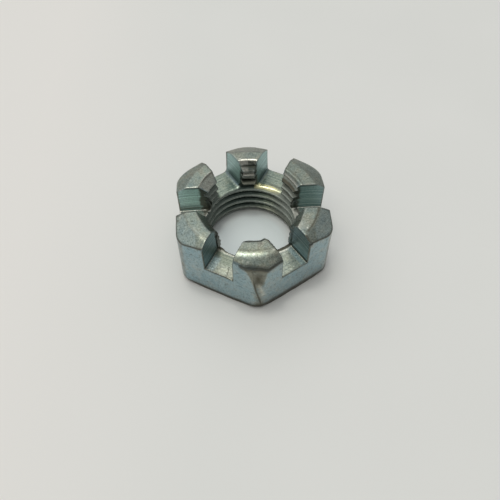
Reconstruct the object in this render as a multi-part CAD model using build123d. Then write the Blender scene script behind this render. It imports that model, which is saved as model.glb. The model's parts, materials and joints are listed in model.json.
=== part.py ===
from build123d import *
import os
from math import cos, radians, tan

# Castle nut of the low, plain form: a hexagon slotted from the top, with no turned-down crown.
# Millimetres. The origin is the centre of the flat bottom face, and +Z runs up the thread axis.
# One corner of the hexagon points along -Y, so two of its flats face +X and -X.

# Hexagon
across_flats = 24.0
height = 11.4
bottom_corner_radius = 2.2  # rounding of the upright corners at the bottom face
top_corner_radius = 3.4     # the same at the top, where the forging fills the corners less

# Outer shoulder, which falls from the narrow top ring to the flats
ring_outer_radius = 10.8    # where the top ring would meet the shoulder's slope, before rounding
shoulder_angle = 28.0       # degrees below the horizontal
shoulder_rounding = 1.5

# Bore for an M16 x 1.5 thread, at its minor diameter, with a lead-in at each mouth
bore_radius = 7.25
top_countersink_radius = 8.95
bottom_countersink_radius = 8.25
countersink_angle = 45.0    # degrees below the horizontal

# Turned chamfer that takes the points off the bottom corners
bottom_chamfer_radius = 12.6
bottom_chamfer_angle = 30.0

# Slots for the split pin, one centred on each flat
slot_pairs = 3
slot_width = 4.8            # at the floor
slot_draft = 2.8            # degrees by which each wall leans out towards the top
slot_floor_height = 5.9
slot_floor_rounding = 0.35

# Front corner, along -Y, which the forging didn't fill: a flat that leans in towards the top.
# Its depths are measured from the hexagon's sharp corner.
unfilled_foot_height = 4.6
unfilled_foot_depth = 0.36
unfilled_top_depth = 1.05

# How far cutting shapes run past the blank
overrun = 1.0


def forged_blank():
    """Hexagon whose rounded corners are fuller at the bottom than at the top."""
    with BuildPart() as blank:
        for level, radius in ((0, bottom_corner_radius), (height, top_corner_radius)):
            with BuildSketch(Plane.XY.offset(level)):
                hexagon = RegularPolygon(across_flats / 2, 6, major_radius=False, rotation=30)
                fillet(hexagon.vertices(), radius)
        loft(ruled=True)
    return blank.part


def unfilled_corner():
    """What the front corner lacks, down to the leaning flat."""
    sharp_corner = across_flats / 2 / cos(radians(30))
    with BuildPart() as missing:
        with BuildSketch(Plane.YZ):
            with BuildLine():
                Polyline(
                    (unfilled_foot_depth - sharp_corner, unfilled_foot_height),
                    (unfilled_top_depth - sharp_corner, height),
                    (-overrun - sharp_corner, height),
                    (-overrun - sharp_corner, unfilled_foot_height),
                    close=True,
                )
            make_face()
        extrude(amount=across_flats / 2, both=True)
    return missing.part


def turned_envelope():
    """Solid of revolution that the turning leaves: shoulder, top ring, bore and lead-ins."""
    reach = across_flats  # well outside the hexagon's corners
    fall = (reach - ring_outer_radius) * tan(radians(shoulder_angle))
    rise = (reach - bottom_chamfer_radius) * tan(radians(bottom_chamfer_angle))
    lead_in = tan(radians(countersink_angle))
    bottom_sink = (bottom_countersink_radius - bore_radius) * lead_in
    top_sink = (top_countersink_radius - bore_radius) * lead_in
    shoulder = (ring_outer_radius, height)
    with BuildPart() as envelope:
        with BuildSketch(Plane.XZ):
            with BuildLine():
                Polyline(
                    (bore_radius, bottom_sink),
                    (bottom_countersink_radius, 0),
                    (bottom_chamfer_radius, 0),
                    (reach, rise),
                    (reach, height - fall),
                    shoulder,
                    (top_countersink_radius, height),
                    (bore_radius, height - top_sink),
                    close=True,
                )
            profile = make_face()
            fillet(profile.vertices().sort_by_distance(shoulder)[0], shoulder_rounding)
        revolve(axis=Axis.Z)
    return envelope.part


def slot_cutter():
    """One milling pass across the nut, which opens a pair of opposite slots."""
    depth = height - slot_floor_height + overrun
    flare = depth * tan(radians(slot_draft))
    half = slot_width / 2
    with BuildPart() as cutter:
        with BuildSketch(Plane.YZ):
            with BuildLine():
                Polyline(
                    (-half, slot_floor_height),
                    (half, slot_floor_height),
                    (half + flare, slot_floor_height + depth),
                    (-half - flare, slot_floor_height + depth),
                    close=True,
                )
            section = make_face()
            fillet(section.vertices().group_by(Axis.Y)[0], slot_floor_rounding)
        extrude(amount=across_flats, both=True)
    return cutter.part


def castle_nut():
    nut = (forged_blank() - unfilled_corner()) & turned_envelope()
    for turn in range(slot_pairs):
        nut -= slot_cutter().rotate(Axis.Z, turn * 180 / slot_pairs)
    return nut


os.makedirs("parts", exist_ok=True)
export_step(castle_nut(), "parts/castle_nut.step")
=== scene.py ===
import json
from math import cos, radians, sin, tan

import bpy
import numpy as np
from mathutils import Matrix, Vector


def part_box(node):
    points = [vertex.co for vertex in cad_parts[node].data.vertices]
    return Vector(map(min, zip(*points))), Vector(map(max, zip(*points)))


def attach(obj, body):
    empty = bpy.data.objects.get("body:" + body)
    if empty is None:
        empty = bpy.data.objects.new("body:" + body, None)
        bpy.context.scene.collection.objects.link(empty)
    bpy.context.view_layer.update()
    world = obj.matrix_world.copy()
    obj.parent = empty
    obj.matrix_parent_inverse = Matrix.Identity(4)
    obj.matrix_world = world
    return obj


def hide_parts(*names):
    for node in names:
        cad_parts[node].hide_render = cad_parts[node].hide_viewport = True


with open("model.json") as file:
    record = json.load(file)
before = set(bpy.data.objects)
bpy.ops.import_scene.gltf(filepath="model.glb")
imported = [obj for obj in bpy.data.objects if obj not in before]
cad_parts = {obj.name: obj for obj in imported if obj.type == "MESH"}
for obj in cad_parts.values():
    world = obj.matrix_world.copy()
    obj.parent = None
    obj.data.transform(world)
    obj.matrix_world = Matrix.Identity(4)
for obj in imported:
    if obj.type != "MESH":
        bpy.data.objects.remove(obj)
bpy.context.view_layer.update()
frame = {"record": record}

# Castle nut: the worn and plated nut that stands for the CAD solid.
#
# The nut is written as one solid function of x, y and z in millimetres, negative inside the metal. A
# grid finds where it crosses zero, and each vertex is then moved onto the surface. That gives one
# closed mesh with the thread, slots, forged corners, worn edges and the fold in the front corner.
# Masks at the vertices then tell the material where the plating is milled, worn, stained or bright, and where
# light and shade are painted.
# The frame is the CAD frame: +Z up the thread axis, and one corner of the hexagon along -Y.

NODE = "castle_nut"
node_low, node_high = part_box(NODE)
mounts = {mount["name"]: mount for mount in frame["record"]["mounts"]}

# ---------------------------------------------------------------- sizes, in millimetres and degrees

# From the CAD frame
half_flats = node_high.x * 1000
height = node_high.z * 1000
bore_radius = mounts["thread"]["dims"]["r_mm"]

corner_half = radians(30)         # from the middle of a corner's sector to its edge, on a hexagon

# The six corners, anticlockwise from the one between the +X face and the front right face.
# A forging fills its corners differently, so each has its own rounding at the bottom and at the top.
corner_angles = [-30, 30, 90, 150, 210, 270]
corner_radius_bottom = [2.2, 2.2, 2.3, 2.2, 2.2, 2.4]
corner_radius_top = [2.8, 3.4, 3.6, 4.0, 3.0, 2.8]

# The turned top: a flat ring and the shoulder that falls from it, a little off the hexagon's centre
turned_centre = (-0.10, -0.22)
ring_outer_radius = 10.75
shoulder_angle = 28.0
shoulder_softness = 0.08
front_shoulder_softness = 0.36    # the front prong's shoulder is worn rounder
front_wear_start, front_wear_full = 7.0, 10.0     # how far in front of the axis
# The countersink, whose radius wanders: directions from its centre, and the radius there. The small
# one at -80 degrees is a nub on the front prong.
countersink_centre = (-0.10, -0.08)
countersink_directions = [-170, -155, -138, -95, -84.5, -80, -75.5, -43, -28, 30, 89, 142, 163, 180]
countersink_radii = [8.95, 8.90, 9.08, 8.60, 8.66, 8.30, 8.74, 8.98, 8.60, 8.34, 8.60, 8.86, 8.62, 8.60]
countersink_angle = 45.0
countersink_softness = 0.12

# The bottom, which is turned too. The thread runs down almost to the bearing face.
bottom_countersink_radius = 7.3
bottom_chamfer_radius = 12.6
bottom_chamfer_angle = 30.0
chamfer_softness = 0.15
bottom_softness = 0.2

# The thread: right-hand, M16 x 1.5
thread_pitch = 1.5
thread_depth = 0.84
thread_start_angle = 229.6    # where round the bore a crest is a whole number of pitches up
thread_crest_width = 0.24
thread_root_width = 0.20
thread_centre = (-0.06, -0.13)
thread_steepness = 0.53       # turns the radial gap to a flank into about the distance from it

# The six slots, anticlockwise from the front right face's
slot_angles = [-60, 0, 60, 120, 180, 240]
slot_sideways = [-0.20, -0.24, 0.13, -0.24, -0.46, 0.06]
slot_width = 4.78
slot_draft = 2.5
# How far each slot's right and left wall, seen from outside, stands in at the top of the nut
slot_right_lean = [0.16, 0.2, 0.38, 0.15, 0.3, 0.08]
slot_left_lean = [0.2, 0.3, 0.0, 0.37, 0.0, 0.25]
slot_floor = 5.9
slot_floor_softness = [0.16, 0.16, 0.5, 0.9, 0.16, 0.16]
cutter_step_from_middle = 1.35    # beyond this the cutter's side left a strip that falls to the wall
cutter_step_angle = [0.0, 0.0, 0.0, 0.0, 11.0, 9.0]
scallop_length = 0.66
scallop_depth = 0.003
cutter_arc_centre = (9.5, -4.0)   # of the marks on the walls, out from the axis and up
# Painted light: how much brighter each slot's walls and floor are painted, standing for the light they
# reflect
slot_wall_painted_light = [0.0, 0.32, 0.60, 0.60, 0.70, 0.06]
slot_floor_painted_light = [0.10, 0.75, 0.0, 0.0, 1.0, 0.0]

# The thread's thin crest broke away at the left slot's floor
torn_slot = 180
torn_radius = 7.52
torn_unevenness = 0.12
torn_grain = 0.55
torn_depth = 0.75
torn_start = 5.0              # out from the axis

# Burrs that the cutter pushed into the bore along slot walls: which slot, how far left of its middle,
# inner radius and top height
burrs = [(240, -2.42, 6.93, 9.2), (-60, 2.30, 7.2, 8.6), (180, -2.9, 7.05, 8.2), (0, 2.2, 7.1, 7.6)]
burr_half_thickness = 0.24
burr_outer_radius = 8.0
burr_above_floor = 0.1
burr_unevenness = 0.30
burr_grain = 0.45
burr_taper = 0.15             # how much it shortens for each millimetre up
burr_tilt = 0.03              # how much it leans away from the slot's middle for each millimetre up

# Lips that it rolled over the thread at the front slots' floors. Which slot: how far left of its
# middle, and the lip's inner radius there.
lips = {
    240: ([-2.9, -1.5, -1.0, 2.4], [7.26, 7.28, 7.50, 7.56]),
    -60: ([-2.4, 0.0, 1.2, 2.3], [7.20, 7.17, 7.41, 7.55]),
}
# How wide the painted shadow along each lip's inner edge is, from its inner edge
lip_shadow_width = {
    240: ([-2.4, -1.8, -1.1, 0.0], [0.6, 0.45, 0.2, 0.12]),
    -60: ([-0.5, 0.5, 1.3, 2.2], [0.42, 0.5, 0.56, 0.5]),
}
lip_outer_radius = 8.3
lip_thickness = 0.4
lip_past_wall = 0.3
lip_unevenness = 0.05
lip_grain = 0.45

# Unevenness of the skin: how far it stands out, and how wide its swells are
forging_relief, forging_grain = 0.022, 1.9
wear_relief, wear_grain = 0.014, 0.6
milled_relief = 0.3           # the share of it that the milled faces keep
# The front prong's top has less of it: how far in front of the axis and how far up that starts
smooth_front_start, smooth_front_length = 9.0, 1.0
smooth_top_start, smooth_top_length = 10.2, 0.5
smooth_share = 0.8
edge_softness = 0.12
far_away = 5.0                # what a solid function gives where its feature can't reach

# Nicks, and painted glints among the bright ones: x, y, z, size and how strongly each shows
bright_nicks_and_glints = [
    (7.78, -6.61, 11.4, 0.14, 0.8), (2.36, -10.26, 11.4, 0.16, 0.5), (4.98, -6.46, 5.9, 0.16, 0.9),
    (5.76, -9.70, 5.9, 0.12, 0.6), (5.22, -10.21, 5.9, 0.12, 0.6), (8.07, 2.15, 6.0, 0.12, 0.8),
    (-11.37, -2.83, 11.0, 0.12, 0.8), (-1.33, 8.80, 11.4, 0.12, 0.9), (-2.3, -11.55, 10.9, 0.14, 0.35),
    (-1.6, -11.90, 10.9, 0.14, 0.35),
]
dark_nicks = [
    (-11.65, -3.33, 10.8, 0.22, 0.8), (-11.72, -2.35, 10.85, 0.35, 0.9), (-2.6, -11.2, 10.9, 0.5, 0.4),
    (-3.2, -10.3, 11.4, 0.6, 0.3), (-11.45, -2.20, 11.0, 0.25, 0.7), (7.90, -7.30, 11.4, 0.15, 0.6),
    (-8.83, -8.76, 5.1, 0.12, 0.5), (-8.40, -8.85, 10.7, 0.25, 0.8), (-3.20, -7.60, 5.9, 0.20, 0.6),
    (-7.72, 8.19, 11.1, 0.25, 0.6), (7.18, 8.07, 11.2, 0.25, 0.5), (-10.30, -7.90, 2.5, 0.20, 0.35),
    (-9.55, -8.35, 2.2, 0.20, 0.35), (-3.30, -11.30, 10.9, 0.45, 0.5),
]

# The sunk facet on the front corner, where the forging didn't fill
front_corner = -9.0           # the y beyond which this corner begins
facet_front = -12.0           # and the y beyond which its face does
fold_start = 4.9
fold_end = 10.2
fold_depth_low = 0.34         # from the hexagon's sharp corner
fold_depth_high = 0.98
fold_curve = 1.5
fold_past_end = 1.1           # how far it goes on deepening above fold_end
fold_lean = 0.12              # how much deeper it is towards its left
fold_softness = 0.08
dimple_centre = (-0.12, 8.0)  # x and z
dimple_radii = (0.6, 1.05)
dimple_depth = 0.22
# The seam down it, in x and z, which gets shallower towards its top
seam = [(-1.4, 10.6), (-0.91, 9.4), (-0.75, 7.2), (-0.43, 5.1), (0.06, 3.0), (0.41, 1.1), (0.5, 0.3)]
seam_width = 0.14
seam_depth = 0.10
seam_fade_start = 6.5
seam_fade_length = 1.5
seam_fade_share = 0.8
# The groove where the front prong's shoulder was lapped over the facet
lap_radius = 0.17
lap_inset = 0.12
lap_softness = 0.1

# The mesh
cell = 0.172
joining_rounds = 4
joining_depth = 0.01
settling_rounds = 4
settling_step = 0.02
least_slope = 0.05
normal_step = 0.05
bend_step = 0.12


# ---------------------------------------------------------------- solid functions

def soft_max(a, b, softness):
    """What two solids share, with the edge between them worn over about that width."""
    blend = np.maximum(softness - np.abs(a - b), 0.0) / softness
    return np.maximum(a, b) + blend * blend * softness / 4


def turned(x, y, angle):
    """(along, across): how far each point lies from the axis in a direction, and to the left of it."""
    c, s = cos(radians(angle)), sin(radians(angle))
    return x * c + y * s, y * c - x * s


class Noise:
    """Smooth random values from -1 to 1, the same on every run."""

    cells = 24
    offset = 100.37     # keeps the noise's grid lines off the nut's centre

    def __init__(self, seed):
        self.table = np.random.default_rng(seed).uniform(-1, 1, (self.cells,) * 3)

    def __call__(self, x, y, z, size):
        total = 0.0
        low, part = [], []
        for value in (x, y, z):
            scaled = value / size + self.offset
            floor = np.floor(scaled)
            low.append(floor.astype(int))
            t = scaled - floor
            part.append(t * t * (3 - 2 * t))
        for i in (0, 1):
            for j in (0, 1):
                for k in (0, 1):
                    weight = 1.0
                    for ahead, t in zip((i, j, k), part):
                        weight = weight * (t if ahead else 1 - t)
                    cell_at = [(base + ahead) % self.cells for base, ahead in zip(low, (i, j, k))]
                    total = total + weight * self.table[tuple(cell_at)]
        return total


forging_noise = Noise(3)
wear_noise = Noise(8)
burr_noise = Noise(21)


def hexagon(x, y, z):
    """The six flats and their rounded upright corners."""
    result = np.full(np.shape(x), -half_flats)
    share = np.clip(z / height, 0, 1)
    for angle, at_bottom, at_top in zip(corner_angles, corner_radius_bottom, corner_radius_top):
        along, across = turned(x, y, angle)
        across = np.abs(across)
        radius = at_bottom + (at_top - at_bottom) * share
        centre = (half_flats - radius) / cos(corner_half)
        flats = along * cos(corner_half) + across * sin(corner_half) - half_flats
        corner = np.hypot(along - centre, across) - radius
        near_corner = across < (along - centre) * tan(corner_half)
        in_sector = across <= along * tan(corner_half) + 1e-9
        result = np.where(in_sector, np.where(near_corner, corner, flats), result)
    return result


def line_distance(points, ends):
    """How far each point is from a line through the ends, whatever the number of coordinates."""
    nearest = np.inf
    for start, end in zip(ends, ends[1:]):
        run = np.subtract(end, start)
        share = sum((p - a) * r for p, a, r in zip(points, start, run)) / (run ** 2).sum()
        share = np.clip(share, 0, 1)
        gap = sum((p - a - share * r) ** 2 for p, a, r in zip(points, start, run))
        nearest = np.minimum(nearest, gap)
    return np.sqrt(nearest)


def seam_distance(x, z):
    return line_distance((x, z), seam)


def from_dimple(x, z):
    """How far a point is from the dimple's middle, in its radii."""
    return np.hypot((x - dimple_centre[0]) / dimple_radii[0], (z - dimple_centre[1]) / dimple_radii[1])


def front_fold(x, y, z):
    """The front corner, which the forging didn't fill: a sunk facet with a dimple and a seam."""
    rise = np.clip((z - fold_start) / (fold_end - fold_start), 0, fold_past_end)
    depth = fold_depth_low + (fold_depth_high - fold_depth_low) * rise ** fold_curve
    depth = depth - fold_lean * x * np.clip(rise, 0, 1)
    depth = depth + dimple_depth * np.exp(-from_dimple(x, z) ** 2)
    seam_fade = 1 - seam_fade_share * np.clip((z - seam_fade_start) / seam_fade_length, 0, 1)
    depth = depth + seam_fade * seam_depth * np.exp(-(seam_distance(x, z) / seam_width) ** 2)
    sharp_corner = half_flats / cos(corner_half)
    return -y - (sharp_corner - depth)


def top(x, y, z):
    """The flat ring on top and the shoulder that falls from it."""
    radius = np.hypot(x - turned_centre[0], y - turned_centre[1])
    angle = radians(shoulder_angle)
    shoulder = (radius - ring_outer_radius) * sin(angle) + (z - height) * cos(angle)
    front = np.clip((-y - front_wear_start) / (front_wear_full - front_wear_start), 0, 1)
    softness = shoulder_softness + (front_shoulder_softness - shoulder_softness) * front
    return soft_max(z - height, shoulder, softness)


def from_thread_axis(x, y):
    return np.hypot(x - thread_centre[0], y - thread_centre[1])


def thread_wall(x, y, z):
    """The bore with its thread, positive in the empty bore."""
    dx, dy = x - thread_centre[0], y - thread_centre[1]
    turn = (np.degrees(np.arctan2(dy, dx)) - thread_start_angle) / 360
    turns_up = z / thread_pitch - turn
    from_crest = np.abs(turns_up - np.round(turns_up)) * thread_pitch
    flank = (thread_pitch - thread_crest_width - thread_root_width) / 2
    share = np.clip((from_crest - thread_crest_width / 2) / flank, 0, 1)
    radius = bore_radius + thread_depth * share
    return (radius - np.hypot(dx, dy)) * thread_steepness


def countersink(x, y, z):
    """The lead-in on top, positive where there is no metal."""
    dx, dy = x - countersink_centre[0], y - countersink_centre[1]
    mouth = np.interp(np.degrees(np.arctan2(dy, dx)), countersink_directions, countersink_radii)
    angle = radians(countersink_angle)
    return (mouth - np.hypot(dx, dy)) * sin(angle) - (height - z) * cos(angle)


def bore(x, y, z):
    """The threaded bore and its two lead-ins, positive where there is no metal."""
    angle = radians(countersink_angle)
    lower = (bottom_countersink_radius - np.hypot(x, y)) * sin(angle) - z * cos(angle)
    threaded = np.maximum(thread_wall(x, y, z), lower)
    return soft_max(threaded, countersink(x, y, z), countersink_softness)


def bottom(x, y, z):
    """The bearing face and the turned chamfer that takes the points off the bottom corners."""
    radius = np.hypot(x, y)
    angle = radians(bottom_chamfer_angle)
    chamfer = (radius - bottom_chamfer_radius) * sin(angle) - z * cos(angle)
    return soft_max(-z, chamfer, chamfer_softness)


def slot(x, y, z, angle, sideways, right_lean, left_lean, step_angle, softness):
    """One slot, negative in its empty space. Its floor has the cutter's scallops and side strip."""
    along, across = turned(x, y, angle)
    across = across - sideways
    rise = z - slot_floor
    half_width = slot_width / 2 + rise * tan(radians(slot_draft))
    share = np.clip(rise / (height - slot_floor), 0, 1)
    wall = np.abs(across) - half_width + share * np.where(across > 0, left_lean, right_lean)
    strip = np.maximum(across - cutter_step_from_middle, 0) * tan(radians(step_angle))
    scallops = scallop_depth * np.cos(2 * np.pi * along / scallop_length)
    floor = slot_floor - strip + scallops - z
    cut = soft_max(wall, floor, softness)
    return np.where(along > 0, cut, far_away)


def slots(x, y, z):
    """All six slots, negative in their empty space."""
    result = np.full(np.shape(x), far_away)
    for sizes in zip(
        slot_angles, slot_sideways, slot_right_lean, slot_left_lean, cutter_step_angle, slot_floor_softness
    ):
        result = np.minimum(result, slot(x, y, z, *sizes))
    return result


def torn_crest(x, y, z):
    """The thin thread crest that broke away at the left slot's floor, positive where it is missing."""
    ragged = torn_radius + torn_unevenness * burr_noise(x, y, z, torn_grain)
    gone = ragged - from_thread_axis(x, y)
    along, across = turned(x, y, torn_slot)
    here = np.minimum(slot_width / 2 - np.abs(across), along - torn_start)
    torn = np.minimum(here, np.minimum(gone, z - slot_floor + torn_depth))
    return np.maximum(torn, -far_away)


def burr_fins(x, y, z):
    """Ragged slivers that stand into the bore along some slot walls, negative inside."""
    result = np.full(np.shape(x), far_away)
    reach = from_thread_axis(x, y)
    rise = z - slot_floor
    for angle, from_middle, inner, upper in burrs:
        along, across = turned(x, y, angle)
        uneven = burr_unevenness * burr_noise(x * 0 + angle / 7, y * 0, z, burr_grain)
        ragged = inner + uneven + burr_taper * rise
        thin = np.abs(across - from_middle - burr_tilt * rise * np.sign(from_middle)) - burr_half_thickness
        fin = np.maximum(np.maximum(thin, ragged - reach), reach - burr_outer_radius)
        fin = np.maximum(np.maximum(fin, z - upper), slot_floor + burr_above_floor - z)
        result = np.minimum(result, np.where(along > 0, fin, far_away))
    return result


def lip_edge(x, y, z, angle):
    """How far each point lies outside the ragged inner edge of a slot's lip."""
    along, across = turned(x, y, angle)
    inner = np.interp(across, *lips[angle]) + lip_unevenness * burr_noise(x, y, z, lip_grain)
    return np.where(along > 0, from_thread_axis(x, y) - inner, -far_away)


def floor_lips(x, y, z):
    """The thin lips over the thread at the front slots' floors, negative inside."""
    result = np.full(np.shape(x), far_away)
    for angle in lips:
        across = turned(x, y, angle)[1]
        past_wall = np.abs(across) - slot_width / 2 - lip_past_wall
        plate = np.maximum(past_wall, from_thread_axis(x, y) - lip_outer_radius)
        plate = np.maximum(np.maximum(plate, z - slot_floor), slot_floor - lip_thickness - z)
        result = np.minimum(result, np.maximum(plate, -lip_edge(x, y, z, angle)))
    return result


def relief(x, y, z):
    """How far the skin stands proud of the plain form. The front prong's top is smoother."""
    forward = np.clip((-y - smooth_front_start) / smooth_front_length, 0, 1)
    high_up = np.clip((z - smooth_top_start) / smooth_top_length, 0, 1)
    even = 1 - smooth_share * forward * high_up
    swells = forging_relief * forging_noise(x, y, z, forging_grain)
    return even * (swells + wear_relief * wear_noise(x, y, z, wear_grain))


def uncut(x, y, z):
    """The nut before its slots are milled."""
    blank = soft_max(hexagon(x, y, z), front_fold(x, y, z), fold_softness)
    crown = top(x, y, z)
    groove = lap_radius - np.hypot(blank + lap_inset, crown + lap_inset)
    lap = np.where(y < front_corner, groove, -far_away)
    blank = soft_max(blank, bottom(x, y, z), bottom_softness)
    blank = soft_max(blank, crown, edge_softness)
    blank = soft_max(blank, lap, lap_softness)
    blank = soft_max(blank, bore(x, y, z), edge_softness)
    blank = soft_max(blank, torn_crest(x, y, z), edge_softness)
    return np.minimum(blank, floor_lips(x, y, z))


def plain_nut(x, y, z, skin=0.0):
    """The whole nut, with the skin's unevenness where it is given."""
    blank = soft_max(uncut(x, y, z) - skin, -slots(x, y, z) - milled_relief * skin, edge_softness)
    return np.minimum(blank, burr_fins(x, y, z) - skin)


def nut(x, y, z):
    """The whole nut with its uneven skin."""
    return plain_nut(x, y, z, relief(x, y, z))


# ---------------------------------------------------------------- mesh

def slope(solid, points, gap):
    """The gradient of a solid function at each point."""
    result = np.empty_like(points)
    for axis in range(3):
        ahead, behind = points.copy(), points.copy()
        ahead[:, axis] += gap
        behind[:, axis] -= gap
        result[:, axis] = (solid(*ahead.T) - solid(*behind.T)) / (2 * gap)
    return result


def joined(values):
    """Fills the grid where metal would touch metal along one line only, so each edge has two faces."""
    for _ in range(joining_rounds):
        for side, up in ((0, 1), (1, 2), (2, 0)):
            squares = []
            for i, j in ((0, 0), (1, 0), (0, 1), (1, 1)):
                part = [slice(None)] * 3
                part[side] = slice(i, values.shape[side] - 1 + i)
                part[up] = slice(j, values.shape[up] - 1 + j)
                squares.append(tuple(part))
            first, second, third, fourth = (values[part] < 0 for part in squares)
            touching = (first == fourth) & (second == third) & (first != second)
            for part in squares:
                values[part] = np.where(touching & (values[part] >= 0), -joining_depth, values[part])
    return values


def mesh_of(solid, low, high, size):
    """Points and quads where the solid crosses zero, with one point in each grid cell that it crosses."""
    axes = [np.arange(a - 1.5 * size, b + 2.5 * size, size) for a, b in zip(low, high)]
    origin = np.array([axis[0] for axis in axes])
    values = joined(solid(*np.meshgrid(*axes, indexing="ij")))
    metal = values < 0
    cells = tuple(n - 1 for n in values.shape)
    corners = [(i, j, k) for i in (0, 1) for j in (0, 1) for k in (0, 1)]
    filled = sum(
        metal[i:i + cells[0], j:j + cells[1], k:k + cells[2]].astype(int) for i, j, k in corners
    )
    crossed = (filled > 0) & (filled < 8)
    number = np.full(cells, -1)
    number[crossed] = np.arange(crossed.sum())
    at = np.argwhere(crossed)

    # Each point starts at the mean of the places where the cell's edges cross the surface
    total = np.zeros((len(at), 3))
    hits = np.zeros(len(at))
    for axis in range(3):
        along = np.eye(3, dtype=int)[axis]
        for corner in corners:
            if corner[axis]:
                continue
            start = at + corner
            a, b = values[tuple(start.T)], values[tuple((start + along).T)]
            crosses = (a < 0) != (b < 0)
            share = np.where(crosses, a / np.where(crosses, a - b, 1), 0)
            total += crosses[:, None] * (start + share[:, None] * along)
            hits += crosses
    points = origin + size * total / hits[:, None]

    quads = []
    for axis in range(3):
        side, up = (axis + 1) % 3, (axis + 2) % 3
        inner = [slice(1, n - 1) for n in values.shape]
        inner[axis] = slice(0, values.shape[axis] - 1)
        ahead = list(inner)
        ahead[axis] = slice(1, values.shape[axis])
        here, there = metal[tuple(inner)], metal[tuple(ahead)]
        edge = np.argwhere(here != there)
        outward = here[tuple(edge.T)]
        edge[:, side] += 1
        edge[:, up] += 1
        ring = []
        for back_side, back_up in ((1, 1), (0, 1), (0, 0), (1, 0)):
            around = edge.copy()
            around[:, side] -= back_side
            around[:, up] -= back_up
            ring.append(number[tuple(around.T)])
        ring = np.stack(ring, axis=1)
        quads.append(np.where(outward[:, None], ring, ring[:, ::-1]))
    return points, np.concatenate(quads)


def settle(solid, points, low, high, reach):
    """Moves each point onto the surface, and keeps it in the CAD box."""
    for _ in range(settling_rounds):
        gradient = slope(solid, points, settling_step)
        length = np.maximum((gradient ** 2).sum(axis=1), least_slope)
        move = solid(*points.T) / length
        points = points - gradient * np.clip(move, -reach, reach)[:, None]
    return np.clip(points, low, high)


low = np.array(node_low) * 1000
high = np.array(node_high) * 1000
points, quads = mesh_of(plain_nut, low, high, cell)
points = settle(nut, points, low, high, cell / 2)
normals = slope(nut, points, normal_step)
normals /= np.linalg.norm(normals, axis=1)[:, None]

mesh = bpy.data.meshes.new("nut")
mesh.from_pydata((points / 1000).tolist(), [], quads.tolist())
mesh.update()
mesh.shade_smooth()
mesh.normals_split_custom_set_from_vertices(normals.tolist())
nut_piece = bpy.data.objects.new("nut", mesh)
bpy.context.collection.objects.link(nut_piece)

# ---------------------------------------------------------------- masks for the finish, and for painted light and shade

x, y, z = points.T
radius = np.hypot(x, y)
compass = np.degrees(np.arctan2(y, x))
facing_up = normals[:, 2]
ragged = burr_noise(x, y, z, 0.5)


def step(value, start, end):
    """Rises smoothly from 0 at the start to 1 at the end."""
    t = np.clip((value - start) / (end - start), 0, 1)
    return t * t * (3 - 2 * t)


def fade(value, start, end):
    """Falls smoothly from 1 at the start to 0 at the end."""
    return 1 - step(value, start, end)


def within(value, start, full, fading, end):
    """Rises from start to full, and falls from fading to end."""
    return step(value, start, full) * fade(value, fading, end)


def band(distance, width):
    """1 where the distance is nothing, and nearly 0 beyond twice the width."""
    return np.exp(-(distance / width) ** 2)


def spot(at_x, at_y, at_z, size):
    return band(np.sqrt((x - at_x) ** 2 + (y - at_y) ** 2 + (z - at_z) ** 2), size)


# How sharply the surface turns: above 0 on an edge, below 0 in a crease
bend = -6 * nut(x, y, z)
for axis in range(3):
    for side in (-bend_step, bend_step):
        moved = points.copy()
        moved[:, axis] += side
        bend += nut(*moved.T)
bend /= bend_step ** 2

# The milled slots. The cutter left arcs on the walls and straight lines on the floors.
in_slot = slots(x, y, z)
near_slot = fade(np.abs(in_slot), 0.05, 0.2)
slot_floor_mask = near_slot * step(facing_up, 0.75, 0.93) * fade(z, slot_floor + 0.4, slot_floor + 0.8)
slot_wall_mask = near_slot * fade(np.abs(facing_up), 0.2, 0.5)
tool_path = z.copy()
wall_painted_light = np.zeros(len(points))
floor_painted_light = np.zeros(len(points))
for angle, sideways, wall_painted_share, floor_painted_share in zip(
    slot_angles, slot_sideways, slot_wall_painted_light, slot_floor_painted_light
):
    along, across = turned(x, y, angle)
    past_wall = np.where(along > 0, np.abs(across - sideways) - slot_width / 2, far_away)
    marked = past_wall < 0.5
    arcs = np.hypot(along - cutter_arc_centre[0], z - cutter_arc_centre[1])
    tool_path = np.where(marked & (slot_wall_mask > 0.05), arcs, tool_path)
    tool_path = np.where(marked & (slot_floor_mask > slot_wall_mask), along, tool_path)
    wall_painted_light[past_wall < 0.6] = wall_painted_share
    floor_painted_light[past_wall < 0.6] = floor_painted_share
# Painted shade: the walls' painted light fades towards their foot
wall_painted_light *= 0.55 + 0.45 * step(z, 6.4, 9.0)

# The turned top, its countersink and the thread
crown = top(x, y, z)
cone = countersink(x, y, z)
cone_mask = fade(np.abs(cone), 0.05, 0.15)
in_countersink = cone_mask * (1 - near_slot)
turned_radius = np.hypot(x - turned_centre[0], y - turned_centre[1])
round_top = np.degrees(np.arctan2(y - turned_centre[1], x - turned_centre[0]))
top_mask = fade(np.abs(crown), 0.1, 0.25) * step(facing_up, 0.3, 0.6)
top_mask = np.maximum(top_mask, in_countersink)
# Painted dark reflection, nearly black on the back prong's countersink and faint on the others
sink_dark_reflection = in_countersink * np.where(np.abs(round_top - 90) < 25, 1.0, 0.15)
inward = -(normals[:, 0] * x + normals[:, 1] * y) / radius
thread_mask = fade(radius, 8.15, 8.4) * (1 - near_slot * fade(inward, 0.2, 0.5)) * (1 - cone_mask)
# Painted shade: the thread darker from its crests into its roots
thread_root_shade = step(radius, bore_radius - 0.04, bore_radius + 0.16)
# Painted light: the thread lighter towards the +X side of the bore and, less, towards the -X side
thread_painted_light = np.maximum(
    step(np.cos(np.radians(compass - 12)), 0.5, 0.95),
    0.5 * step(np.cos(np.radians(compass - 180)), 0.4, 0.9),
)


def arc(line_radius, width, start, end):
    """A line round the turned top, fading at its ends."""
    inside = within(round_top, start - 3, start + 3, end - 3, end + 3)
    return band(turned_radius - line_radius, width) * inside * top_mask


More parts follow.
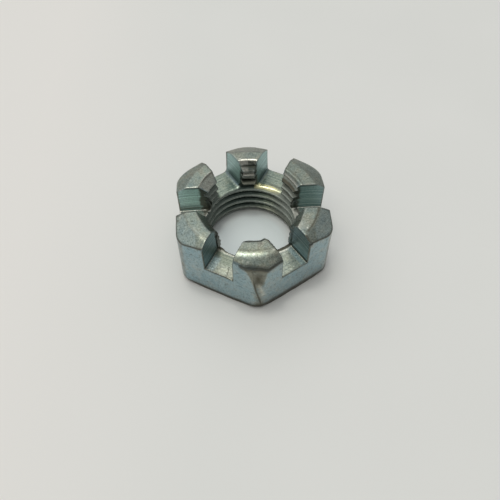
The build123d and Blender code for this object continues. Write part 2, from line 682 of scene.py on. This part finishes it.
# The flats, their corners and the sunk facet in front
sides = hexagon(x, y, z)
fold = front_fold(x, y, z)
skin_edge = np.maximum(sides, fold)
around = np.degrees(np.arctan2(normals[:, 1], normals[:, 0]))
corner_mask = step(np.abs((around + 30) % 60 - 30), 8, 24) * fade(np.abs(facing_up), 0.2, 0.4)
corner_mask = corner_mask * step(sides, -0.3, -0.15)
in_front = y < facet_front
facet_mask = step(skin_edge + 0.06, 0.0, 0.05) * step(fold - sides, -0.05, 0.05) * in_front
dimple = band(from_dimple(x, z), 1.1) * in_front

# Painted shade round the foot, where the nut meets the floor: how high it stays dark, and where it ends, from
# left to right
foot_dark = np.interp(x, [-8, -2, 0, 2, 11], [0.5, 0.55, 0.9, 0.8, 0.65])
foot_clear = np.interp(x, [-8, -2, 0, 2, 11], [1.2, 1.4, 2.1, 1.9, 1.7])
foot_shade = fade(z, foot_dark, foot_clear) * step(sides, -0.9, -0.6)

# Rims round the shoulder, the slots' floors, walls and tops, and the countersink, some with painted light or
# shade
# Painted shadow under the shoulder's rim, as under a lap
shoulder_rim_shadow = band(np.hypot(sides + 0.04, crown + 0.04), 0.15)
floor_rim = band(np.hypot(sides + 0.06, z - slot_floor), 0.22) * (y < 0) * (np.abs(in_slot) < 0.2)
upright_edge = band(np.hypot(sides + 0.03, in_slot), 0.13) * step(z, slot_floor - 0.2, slot_floor + 0.2)
# A painted highlight on the countersink's rim
sink_rim_highlight = band(np.hypot(crown + 0.02, cone + 0.07), 0.10)
sink_edge = band(turned_radius - 8.8, 0.13) * top_mask * (y > 2) * (np.abs(round_top - 90) > 30)
# Painted highlights on the side slots' rims on top
side_slot_rim_highlight = band(in_slot, 0.2) * top_mask * (y > 0) * (y < 4) * (np.abs(np.abs(x) - 9.2) < 1.3)
side_slot_rim_highlight = side_slot_rim_highlight * np.where(x < 0, 0.35 + 0.65 * band(x + 9.0, 0.35), 0.3)
side_wall_top = band(z - 11.2, 0.14) * slot_wall_mask * (y > 0) * (y < 5)
back_slot_rims = band(in_slot, 0.27) * top_mask * (y > 3.5) * (np.abs(x) > 4)

# The floors of the two front slots, with the strip in the left one and a painted highlight along the ridge in
# the right one
left_along, left_across = turned(x, y, 240)
right_along, right_across = turned(x, y, -60)
left_floor = slot_floor_mask * (left_along > 7) * (np.abs(left_across) < 3)
right_floor = slot_floor_mask * (right_along > 7) * (np.abs(right_across) < 3)
strip_line = [(10.1, 0.86), (10.9, 1.12), (11.8, 1.33)]
strip_edge = left_floor * band(line_distance((left_along, left_across), strip_line), 0.09)
ridge_highlight = right_floor * band(right_across - 1.06, 0.10) * step(right_along, 8.5, 9.0)

# The rolled lips: a painted shadow along each inner edge, and a painted highlight beyond it
lip_shadow = np.zeros(len(points))
lip_highlight = np.zeros(len(points))
for angle in lips:
    from_edge = lip_edge(x, y, z, angle)
    across = turned(x, y, angle)[1]
    at_lip = (z > slot_floor - 0.6) * (z < slot_floor + 0.15) * (np.abs(across) < 2.6) * (from_edge > -0.5)
    past_dark = from_edge - np.interp(across, *lip_shadow_width[angle])
    lit_side = step(1.2 - across * np.sign(angle), 0, 0.3)
    lip_shadow = np.maximum(lip_shadow, at_lip * fade(past_dark, -0.05, 0.05))
    lip_highlight = np.maximum(lip_highlight, at_lip * band(past_dark - 0.17, 0.09) * lit_side)

# Dark burrs, on the slots' walls beside the bore and on the slivers
burr_reach = np.where((x < 0) & (y > 0), 0.45, 0.0)
burr_reach = np.where(y > 5.5, -0.3, burr_reach)
burr = slot_wall_mask * fade(radius + 0.3 * ragged - burr_reach, 8.05, 8.45)
burr = np.maximum(burr, band(np.minimum(burr_fins(x, y, z), 0.5) + 0.05, 0.16))
burr = burr * np.where((x > 0) & (y < 0), 0.5, 1.0) * np.where((x > 7) & (y > 0) & (z < 8), 0.75, 1.0)

# The back prong's thread, and the shade on the slot floors beside it
back_thread = thread_mask * (np.abs(compass - 89) < 11) * (y > 0)
right_of_back = turned(x, y, 60)[1] - slot_sideways[2]
left_of_back = slot_sideways[3] - turned(x, y, 120)[1]
from_back_prong = slot_width / 2 - np.where(x > 0, right_of_back, left_of_back)
back_shade = near_slot * fade(z, 6.4, 7.6) * (y > 5) * fade(from_back_prong, 0.2, 2.4)
back_shade = back_shade * step(radius, 7.9, 9.0) * (np.abs(compass - 90) < 45)

# Painted light on the floor at the foot of the left slot's back wall, and painted shade in the creases at the
# foot of the left front slot's walls
left_strip_light = near_slot * (x < -7.2) * (y > 1.9) * (z < 6.25) * (z > 5.7) * (facing_up > 0.4)
wall_foot_shade = step(-bend, 0.4, 1.6) * near_slot * (y < -3.5) * (x < 0) * fade(z, 6.3, 7.0)

# Bluish: painted reflections of the walls on strips of the front slots' floors, and a tint on the side
# prongs' shoulders
blue_tint_and_reflection = np.maximum.reduce([
    0.42 * right_floor * within(right_across, 1.1, 1.25, 1.9, 2.1),
    0.60 * left_floor * step(-left_across, 0.7, 1.3) * step(left_along, 8.6, 9.6),
    # The shoulder's lower edge on the two side prongs in front
    0.14 * top_mask * (x > 9) * (y < 0) * step(turned_radius, 10.8, 11.0),
    0.12 * top_mask * (x < -9) * (y < 0) * step(turned_radius, 10.8, 11.0),
])

# Darker: stains, marks and burrs, and painted shade and shadow at the foot, under rims, along lips and at
# walls' feet
stain_and_shade = np.maximum.reduce([
    # Painted shade round the foot of the nut and at the bottom of the thread
    0.97 * foot_shade,
    0.6 * thread_mask * fade(z, 0.6, 1.5),
    # Painted shadow along the shoulder's rim, as under a lap, on the side prongs and on the front one
    0.85 * shoulder_rim_shadow * (np.abs(x) > 7) * (y < 3),
    0.88 * band(np.hypot(skin_edge + 0.1, crown + 0.22), 0.36) * (y < front_corner)
    * step(x + 0.15 * ragged, -3.2, -2.5),
    # Round the turned top
    0.45 * arc(10.72, 0.11, -168, -140),
    0.85 * arc(10.55, 0.18, -44, -4),
    0.45 * arc(10.0, 0.22, -108, -80),
    0.45 * arc(10.85, 0.7, -82, -60),
    0.30 * arc(10.3, 0.5, -84, -62),
    0.18 * top_mask * (x > 4) * (y > 2),
    0.5 * band(np.hypot(x - 4.1, y + 10.6), 0.5) * top_mask,
    0.7 * sink_edge,
    # Where the slots cut the top and the flats
    0.85 * back_slot_rims,
    0.85 * band(in_slot, 0.3) * top_mask * (np.abs(x) > 10.6) * (y < 0) * (y > -3.3),
    0.9 * band(in_slot, 0.35) * top_mask * (x > 1) * (y < -8) * (y > -10.6),
    0.95 * band(np.hypot(sides + 0.15, in_slot), 0.34) * (x < 0) * (y > 9) * step(z, 7.0, 7.8),
    0.95 * floor_rim * np.where(x < 0, 1.0, 0.7),
    0.7 * upright_edge,
    # In the front corner
    0.85 * dimple,
    0.85 * band(seam_distance(x, z), 0.16) * in_front * (1 - 0.6 * step(z, 6.5, 8)),
    # On the left-hand front corner
    0.10 * corner_mask * (x < -7) * (y < 0),
    # On the slots' walls and floors
    0.9 * burr,
    # Painted shadow along the lips' inner edges
    0.95 * lip_shadow,
    0.7 * side_wall_top,
    # Painted shade at the foot of the walls: the left slot's back wall, the left front slot's and the right
    # front slot's
    0.6 * slot_wall_mask * (x < -7) * (y > 0) * within(z, 6.05, 6.3, 6.4, 7.5),
    0.6 * wall_foot_shade,
    0.6 * near_slot * (right_along > 7) * band(right_across - 2.16, 0.16) * (z < 6.2),
    0.7 * band(radius - 8.65, 0.2) * slot_floor_mask * within(compass, 44, 48, 62, 68),
    0.20 * left_floor * fade(left_along, 9.2, 10.4),
    0.8 * strip_edge,
    # In the thread of the back prong and of the right-hand back prong
    0.5 * back_thread * (z > 6.6) * (1 - band(z - 8.9, 0.35)),
    0.5 * back_thread * within(z, 9.3, 9.5, 10.3, 10.6),
    0.7 * back_thread * within(z, 8.0, 8.2, 8.55, 8.7),
    0.35 * thread_mask * (radius > 7.4) * within(compass, 12, 16, 40, 46) * (z > 6.3) * (z < 9.4),
    0.97 * band(z - 9.97, 0.3) * (radius < 7.6) * within(compass, 12, 16, 46, 50),
    *(share * spot(*place) for *place, share in dark_nicks),
]) * (1 - left_strip_light)

rust = np.maximum.reduce([
    # On the front corner's facet and below it, and on the other corners
    0.95 * facet_mask,
    0.7 * band(line_distance((x, z), [(-0.1, 6.5), (0.1, 3.5), (0.35, 0.8)]), 0.55) * in_front,
    0.85 * corner_mask * (0.75 + 0.5 * ragged),
    # On the turned top
    0.6 * top_mask * step(y, 9.5, 10.5),
    0.3 * top_mask * (y > 8) * (y < 10),
    0.2 * top_mask * (x > 5) * (y < 0),
    0.15 * top_mask * (y < -8),
    0.6 * band(np.hypot(x - 3.2, y + 10.9), 1.0) * top_mask,
    # On the strip in the left front slot's floor
    0.35 * step(left_across, 1.2, 1.4) * left_floor,
])

# Paler: bright nicks and flecks, and painted light: reflections on slot floors, and highlights on rims, lips,
# ridge and crests
pale_and_painted_light = (1 - lip_shadow) * np.maximum.reduce([
    # Painted reflections on the bright slot floors, painted highlights on the lips' edges and the ridge,
    # painted light on the left slot's strip, and paler patches and flecks
    floor_painted_light * slot_floor_mask,
    0.95 * lip_highlight,
    0.5 * ridge_highlight,
    0.9 * left_strip_light,
    0.2 * right_floor * band(right_across - 0.5, 0.6),
    0.18 * left_floor * step(left_along, 9.4, 10.6),
    0.08 * band(radius - 8.0, 0.3) * slot_floor_mask * within(compass, 94, 98, 108, 116) * (ragged > -0.2),
    # Painted highlights on rims on top and on the left and right prongs, and a paler countersink on the left
    # back prong
    0.6 * side_slot_rim_highlight,
    0.75 * sink_rim_highlight * (np.abs(compass - 89) < 9.5),
    0.28 * in_countersink * (x < 0) * (y > 0),
    0.1 * arc(10.5, 0.35, -152, -134),
    0.2 * spot(6.9, -6.0, 11.4, 0.9),
    # Painted highlights on crests of the thread, on the right-hand back prong, on the back prong and under
    # the right slot
    0.95 * band(z - 10.7, 0.26) * step(radius, 7.5, 7.6) * (radius < 8.2)
    * step(compass, 15, 18) * (compass < 43),
    0.95 * band(z - 8.9, 0.3) * step(radius, 7.4, 7.5) * back_thread * (np.abs(compass - 90) < 7),
    0.15 * band(z - 7.15, 0.15) * back_thread,
    0.3 * thread_mask * (x > 7) * (z > 4.8) * (z < 6.0) * (y > -0.4) * (y < 2.8),
    # A pale streak down the front corner
    0.28 * band(line_distance((x, z), [(0.0, 6.8), (0.66, 4.1)]), 0.3) * in_front,
    *(share * spot(*place) for *place, share in bright_nicks_and_glints),
])

# A painted yellow highlight on the thread's flank at the end of the right-hand back slot's floor, beside the
# bore
yellow_tint_and_highlight = within(radius, 7.3, 7.5, 8.33, 8.48) * within(compass, 44, 50, 82, 83)
yellow_tint_and_highlight = yellow_tint_and_highlight * step(z, 4.95, 5.2) * (z < 6.5) * (1 - slot_wall_mask)
yellow_tint_and_highlight = yellow_tint_and_highlight * (0.45 + 0.55 * step(radius, 7.6, 7.85)) * (0.4 + 0.6 * step(compass, 50, 60))
# Fainter yellow: painted highlights on the left and front prongs and in the back thread, and a tint on the
# left front slot's floor
yellow_tint_and_highlight = np.maximum.reduce([
    yellow_tint_and_highlight,
    0.14 * band(np.hypot(x + 7.9, y + 7.4), 0.8) * top_mask,
    0.06 * left_floor,
    0.16 * arc(10.2, 0.6, -112, -84),
    0.15 * band(z - 7.1, 0.2) * back_thread,
])

# Sharp outer edges lighter, but less so the inner rim of the right-hand back prong
dull_edge = (x > 4.5) * (y > 1.5) * (z > 10.9) * (radius < 9.0)
lighter_edge = step(bend, 0.6, 3.0) * (1 - 0.85 * dull_edge)

# Kept at the vertices for the material: values from 0 to 1, and the tool path in millimetres
masks = {
    "top": top_mask,
    "countersink": sink_dark_reflection,
    "stain_and_shade": stain_and_shade,
    "rust": rust,
    "pale_and_painted_light": pale_and_painted_light,
    "yellow_tint_and_highlight": yellow_tint_and_highlight,
    "wall_painted_light": wall_painted_light,
    "blue_tint_and_reflection": blue_tint_and_reflection,
    "shade": back_shade,
    "thread_painted_light": thread_painted_light,
    "slot_floor": slot_floor_mask,
    "slot_wall": slot_wall_mask,
    "thread": thread_mask,
    "thread_root_shade": thread_root_shade,
    "lighter_edge": lighter_edge,
    "crease_shade": step(-bend, 0.5, 2.5),
    "tool_path": tool_path,
}
for name, values in masks.items():
    layer = mesh.attributes.new(name, "FLOAT", "POINT")
    layer.data.foreach_set("value", np.ascontiguousarray(values, dtype=np.float32))


# ---------------------------------------------------------------- materials

class Nodes:
    """The node tree of a material or a world, with short calls for the nodes used here."""

    def __init__(self, owner):
        owner.use_nodes = True
        self.tree = owner.node_tree
        self.tree.nodes.clear()

    def add(self, kind, inputs=None, **settings):
        node = self.tree.nodes.new(kind)
        for name, value in settings.items():
            setattr(node, name, value)
        for name, value in (inputs or {}).items():
            self.feed(node.inputs[name], value)
        return node

    def feed(self, socket, value):
        if isinstance(value, bpy.types.NodeSocket):
            self.tree.links.new(value, socket)
        else:
            socket.default_value = value

    def attribute(self, name):
        return self.add("ShaderNodeAttribute", attribute_name=name).outputs["Fac"]

    def noise(self, scale, detail, place):
        inputs = {"Vector": place, "Scale": scale, "Detail": detail, "Roughness": 0.55}
        return self.add("ShaderNodeTexNoise", inputs).outputs["Fac"]

    def ramp(self, value, *stops):
        node = self.add("ShaderNodeValToRGB", {"Fac": value})
        elements = node.color_ramp.elements
        while len(elements) < len(stops):
            elements.new(0.5)
        for element, (place, colour) in zip(elements, stops):
            element.position = place
            element.color = (*colour, 1)
        return node.outputs["Color"]

    def level(self, value, low, high, out_low=0.0, out_high=1.0):
        inputs = {"Value": value, "From Min": low, "From Max": high, "To Min": out_low, "To Max": out_high}
        return self.add("ShaderNodeMapRange", inputs).outputs["Result"]

    def mix(self, share, a, b, blend="MIX"):
        node = self.add("ShaderNodeMix", data_type="RGBA", blend_type=blend)
        self.feed(node.inputs["Factor"], share)
        for socket, value in zip([s for s in node.inputs if s.type == "RGBA"], (a, b)):
            self.feed(socket, (*value, 1) if isinstance(value, tuple) else value)
        return [s for s in node.outputs if s.type == "RGBA"][0]

    def maths(self, operation, a, b=0.0):
        node = self.add("ShaderNodeMath", operation=operation)
        self.feed(node.inputs[0], a)
        self.feed(node.inputs[1], b)
        return node.outputs[0]


def zinc_plate():
    """Bluish zinc plate on cold-formed and milled steel, with light and shade painted in from the masks."""
    material = bpy.data.materials.new("zinc_plate")
    n = Nodes(material)
    place = n.add("ShaderNodeTexCoord").outputs["Object"]
    wall, floor = n.attribute("slot_wall"), n.attribute("slot_floor")
    on_top, thread_painted_light = n.attribute("top"), n.attribute("thread_painted_light")

    broad = n.noise(260, 3, place)
    patches = n.noise(900, 3, place)
    fine = n.noise(2300, 3, place)
    grain = n.noise(2600, 3, place)
    grit = n.noise(4200, 2, place)
    marks = n.add(
        "ShaderNodeTexNoise",
        {"W": n.attribute("tool_path"), "Scale": 3.2, "Detail": 3.0},
        noise_dimensions="1D",
    ).outputs["Fac"]

    # The skin of the flats and of the turned top, with dark specks
    blotch = n.maths("ADD", n.maths("MULTIPLY", broad, 0.5), n.maths("MULTIPLY", patches, 0.5))
    skin = n.ramp(
        blotch,
        (0.38, (0.275, 0.395, 0.435)),
        (0.50, (0.325, 0.43, 0.455)),
        (0.60, (0.375, 0.44, 0.435)),
        (0.68, (0.33, 0.345, 0.315)),
    )
    top_skin = n.ramp(
        blotch,
        (0.36, (0.20, 0.25, 0.23)),
        (0.50, (0.26, 0.30, 0.255)),
        (0.60, (0.29, 0.31, 0.25)),
        (0.68, (0.22, 0.215, 0.18)),
    )
    skin = n.mix(on_top, skin, top_skin)
    skin = n.mix(n.level(fine, 0.54, 0.76, 0, 0.75), skin, (0.12, 0.13, 0.11))

    # The slots, streaked by the cutter, with painted light on the walls, and the thread
    dark_wall = n.ramp(marks, (0.35, (0.105, 0.175, 0.185)), (0.65, (0.25, 0.34, 0.345)))
    painted_lit_wall = n.ramp(marks, (0.35, (0.37, 0.52, 0.50)), (0.65, (0.62, 0.84, 0.80)))
    wall_colour = n.mix(n.attribute("wall_painted_light"), dark_wall, painted_lit_wall)
    floor_colour = n.ramp(marks, (0.35, (0.19, 0.235, 0.20)), (0.65, (0.31, 0.355, 0.285)))
    floor_colour = n.mix(n.level(patches, 0.5, 0.7, 0, 0.6), floor_colour, (0.36, 0.39, 0.29))
    # The thread: painted light on one side of the bore, and painted shade in its roots
    root_shade_colour = n.mix(thread_painted_light, (0.065, 0.085, 0.072), (0.155, 0.17, 0.145))
    crest_colour = n.mix(thread_painted_light, (0.19, 0.22, 0.19), (0.235, 0.26, 0.22))
    thread_colour = n.mix(n.attribute("thread_root_shade"), crest_colour, root_shade_colour)
    # The countersink's painted dark reflection
    sink_reflection_colour = n.ramp(fine, (0.45, (0.04, 0.05, 0.04)), (0.65, (0.125, 0.135, 0.11)))
    rust_colour = n.ramp(patches, (0.4, (0.16, 0.16, 0.128)), (0.6, (0.25, 0.25, 0.205)))

    colour = n.mix(n.attribute("thread"), skin, thread_colour)
    # Painted dark reflection on the countersink
    colour = n.mix(n.attribute("countersink"), colour, sink_reflection_colour)
    colour = n.mix(wall, colour, wall_colour)
    colour = n.mix(floor, colour, floor_colour)
    colour = n.mix(n.attribute("rust"), colour, rust_colour)
    # A blue tint, and painted reflections on the front slots' floors
    colour = n.mix(n.attribute("blue_tint_and_reflection"), colour, (0.62, 0.80, 0.84))
    colour = n.mix(n.maths("MULTIPLY", n.attribute("shade"), 0.45), colour, (0.10, 0.145, 0.14))
    colour = n.mix(n.maths("MULTIPLY", n.attribute("lighter_edge"), 0.2), colour, (0.60, 0.61, 0.54))
    # Painted shade in creases
    colour = n.mix(n.maths("MULTIPLY", n.attribute("crease_shade"), 0.45), colour, (0.07, 0.08, 0.06))
    # Pale marks and painted light, then yellow tint and painted yellow highlights
    colour = n.mix(n.attribute("pale_and_painted_light"), colour, (0.92, 0.90, 0.78))
    colour = n.mix(n.attribute("yellow_tint_and_highlight"), colour, (0.66, 0.63, 0.36))

    # Grit, which swings most on the top and on the slots' floors
    swing = n.maths("ADD", 0.8, n.maths("MULTIPLY", n.maths("MAXIMUM", on_top, floor), 0.8))
    tone = n.maths("ADD", 1.0, n.maths("MULTIPLY", n.maths("SUBTRACT", grit, 0.5), swing))
    grey = n.add("ShaderNodeCombineColor", {"Red": tone, "Green": tone, "Blue": tone}).outputs[0]
    colour = n.mix(1.0, colour, grey, "MULTIPLY")
    # Stains, and painted shade and shadow
    colour = n.mix(n.attribute("stain_and_shade"), colour, (0.075, 0.07, 0.05))

    rough = n.level(fine, 0.3, 0.7, 0.26, 0.36)
    rough = n.maths("ADD", rough, n.maths("MULTIPLY", wall, 0.16))
    relief_height = 0.00003     # metres
    bump = n.add("ShaderNodeBump", {"Strength": 0.25, "Distance": relief_height, "Height": grain})
    grooves = n.maths("MULTIPLY", marks, n.maths("MAXIMUM", wall, floor))
    tooled = n.add(
        "ShaderNodeBump",
        {"Strength": 0.3, "Distance": relief_height, "Height": grooves, "Normal": bump.outputs["Normal"]},
    )
    metal = n.add(
        "ShaderNodeBsdfPrincipled",
        {"Base Color": colour, "Roughness": rough, "Metallic": 1.0, "Normal": tooled.outputs["Normal"]},
    )
    n.add("ShaderNodeOutputMaterial", {"Surface": metal.outputs["BSDF"]})
    return material


def paper():
    """The whitish sheet that the nut stands on, with painted light: paler inside the bore, and brighter and
    warmer far to the left.
    """
    material = bpy.data.materials.new("paper")
    n = Nodes(material)
    place = n.add("ShaderNodeTexCoord").outputs["Object"]
    colour = n.ramp(n.noise(25, 2, place), (0.3, (0.752, 0.753, 0.718)), (0.7, (0.772, 0.771, 0.736)))
    from_axis = n.add("ShaderNodeVectorMath", operation="LENGTH")
    n.feed(from_axis.inputs[0], place)
    # Painted light inside the bore
    bore_painted_light = n.level(from_axis.outputs["Value"], 0.0055, 0.008, 1, 0)
    colour = n.mix(bore_painted_light, colour, (0.88, 0.955, 0.94))
    # Painted light: brighter and warmer far to the left
    across = n.add("ShaderNodeSeparateXYZ", {"Vector": place}).outputs["X"]
    colour = n.mix(n.level(across, -0.010, -0.042, 0, 1), colour, (0.815, 0.795, 0.755))
    fibres = n.noise(4000, 2, place)
    bump = n.add("ShaderNodeBump", {"Strength": 0.05, "Distance": 0.00002, "Height": fibres})
    sheet = n.add(
        "ShaderNodeBsdfPrincipled",
        {"Base Color": colour, "Roughness": 0.9, "Specular IOR Level": 0.1, "Normal": bump.outputs["Normal"]},
    )
    n.add("ShaderNodeOutputMaterial", {"Surface": sheet.outputs["BSDF"]})
    return material


mesh.materials.append(zinc_plate())
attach(nut_piece, "root")
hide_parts(NODE)

# ---------------------------------------------------------------- floor, light and camera

floor_reach = 0.9
floor_corners = [(sx * floor_reach, sy * floor_reach, 0) for sx, sy in ((-1, -1), (1, -1), (1, 1), (-1, 1))]
floor_mesh = bpy.data.meshes.new("floor")
floor_mesh.from_pydata(floor_corners, [], [(0, 1, 2, 3)])
floor_piece = bpy.data.objects.new("floor", floor_mesh)
floor_mesh.materials.append(paper())
bpy.context.collection.objects.link(floor_piece)


lamp_distance = 0.60


def soft_box(name, towards, width, power, colour):
    """A soft round light that looks at the nut from a direction."""
    light = bpy.data.lights.new(name, "AREA")
    light.shape = "ELLIPSE"
    light.size = light.size_y = width
    light.energy = power
    light.color = colour
    lamp = bpy.data.objects.new(name, light)
    direction = Vector(towards).normalized()
    lamp.location = direction * lamp_distance
    lamp.rotation_euler = direction.to_track_quat("Z", "Y").to_euler()
    bpy.context.collection.objects.link(lamp)


soft_box("key", (-0.19, 0.11, 1.0), 0.21, 0.40, (1.0, 0.985, 0.95))
soft_box("high", (-0.05, 0.15, 1.0), 0.08, 0.32, (1.0, 0.985, 0.95))
soft_box("side", (-0.36, -0.38, 0.86), 0.16, 0.14, (1.0, 0.93, 0.72))

world = bpy.data.worlds.new("studio")
bpy.context.scene.world = world
n = Nodes(world)
facing = n.add("ShaderNodeVectorMath", operation="DOT_PRODUCT")
n.feed(facing.inputs[0], n.add("ShaderNodeTexCoord").outputs["Generated"])
facing.inputs[1].default_value = Vector((-0.25, 0.45, 0.86)).normalized()     # the brightest direction
sky = n.ramp(
    n.level(facing.outputs["Value"], -1, 1),
    (0.35, (0.28, 0.29, 0.30)),
    (0.55, (0.38, 0.39, 0.40)),
    (0.72, (0.42, 0.43, 0.44)),
    (0.84, (0.58, 0.59, 0.60)),
    (0.97, (1.08, 1.09, 1.10)),
)
background = n.add("ShaderNodeBackground", {"Color": sky, "Strength": 1.0})
n.add("ShaderNodeOutputWorld", {"Surface": background.outputs["Background"]})

camera_height = 54.07      # degrees above the floor
camera_turn = -4.4         # degrees round the nut from -Y
camera_distance = 0.0834
aim = (-0.00033, -0.00189)     # the point on the floor that it looks at, before the turn
sensor_width = 36
lens_in_widths = 480 / 500

turn, rise = radians(camera_turn), radians(camera_height)
target = Vector((aim[0] * cos(turn) - aim[1] * sin(turn), aim[0] * sin(turn) + aim[1] * cos(turn), 0))
away = Vector((sin(turn) * cos(rise), -cos(turn) * cos(rise), sin(rise)))
camera = bpy.data.objects.new("camera", bpy.data.cameras.new("camera"))
camera.data.sensor_width = sensor_width
camera.data.lens = sensor_width * lens_in_widths
camera.data.clip_start = 0.005
camera.location = target + away * camera_distance
camera.rotation_euler = away.to_track_quat("Z", "Y").to_euler()
bpy.context.collection.objects.link(camera)
bpy.context.scene.camera = camera
bpy.context.scene.view_settings.view_transform = "Standard"
